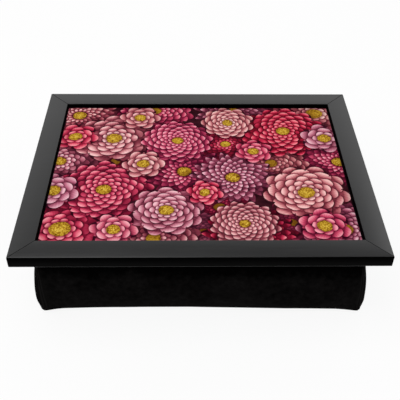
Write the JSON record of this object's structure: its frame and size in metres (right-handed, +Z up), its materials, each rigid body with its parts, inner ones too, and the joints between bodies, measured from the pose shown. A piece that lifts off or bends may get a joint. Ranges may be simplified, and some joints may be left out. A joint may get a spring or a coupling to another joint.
{
  "type": "lap tray",
  "caption": "Lap tray: a mitred black frame holds a printed panel a few millimetres below its rim, fixed on top of a black bean-bag cushion that settles on the knees or lies flat.",
  "frame": {"origin": "centre of the footprint, on the surface that the cushion's flat base stands on", "axes": "+X along the tray's width, -Y towards the sitter, +Z up through the printed panel"},
  "size_m": [0.44, 0.34, 0.116],
  "materials": {
    "black_rail": "black painted moulding, satin, with a faint grain along each rail",
    "printed_laminate": "printed laminate with a floral pattern in crimson, rose and mauve, satin",
    "hardboard": "bare hardboard",
    "black_suede": "black brushed microfibre with a short nap",
    "white_beads": "expanded polystyrene beads",
    "bright_steel": "bright steel wire and strip"
  },
  "bodies": {
    "root": {"front_rail": "black_rail", "back_rail": "black_rail", "left_rail": "black_rail", "right_rail": "black_rail", "print_sheet": "printed_laminate", "tray_panel": "hardboard", "base_board": "hardboard", "cushion_cover": "black_suede", "bead_filling": "white_beads", "v_nail_front_left_outer": "bright_steel", "v_nail_front_left_inner": "bright_steel", "v_nail_front_right_outer": "bright_steel", "v_nail_front_right_inner": "bright_steel", "v_nail_back_left_outer": "bright_steel", "v_nail_back_left_inner": "bright_steel", "v_nail_back_right_outer": "bright_steel", "v_nail_back_right_inner": "bright_steel", "staple_front_1": "bright_steel", "staple_front_2": "bright_steel", "staple_front_3": "bright_steel", "staple_front_4": "bright_steel", "staple_front_5": "bright_steel", "staple_back_1": "bright_steel", "staple_back_2": "bright_steel", "staple_back_3": "bright_steel", "staple_back_4": "bright_steel", "staple_back_5": "bright_steel", "staple_left_1": "bright_steel", "staple_left_2": "bright_steel", "staple_left_3": "bright_steel", "staple_left_4": "bright_steel", "staple_right_1": "bright_steel", "staple_right_2": "bright_steel", "staple_right_3": "bright_steel", "staple_right_4": "bright_steel"}
  },
  "joints": []
}
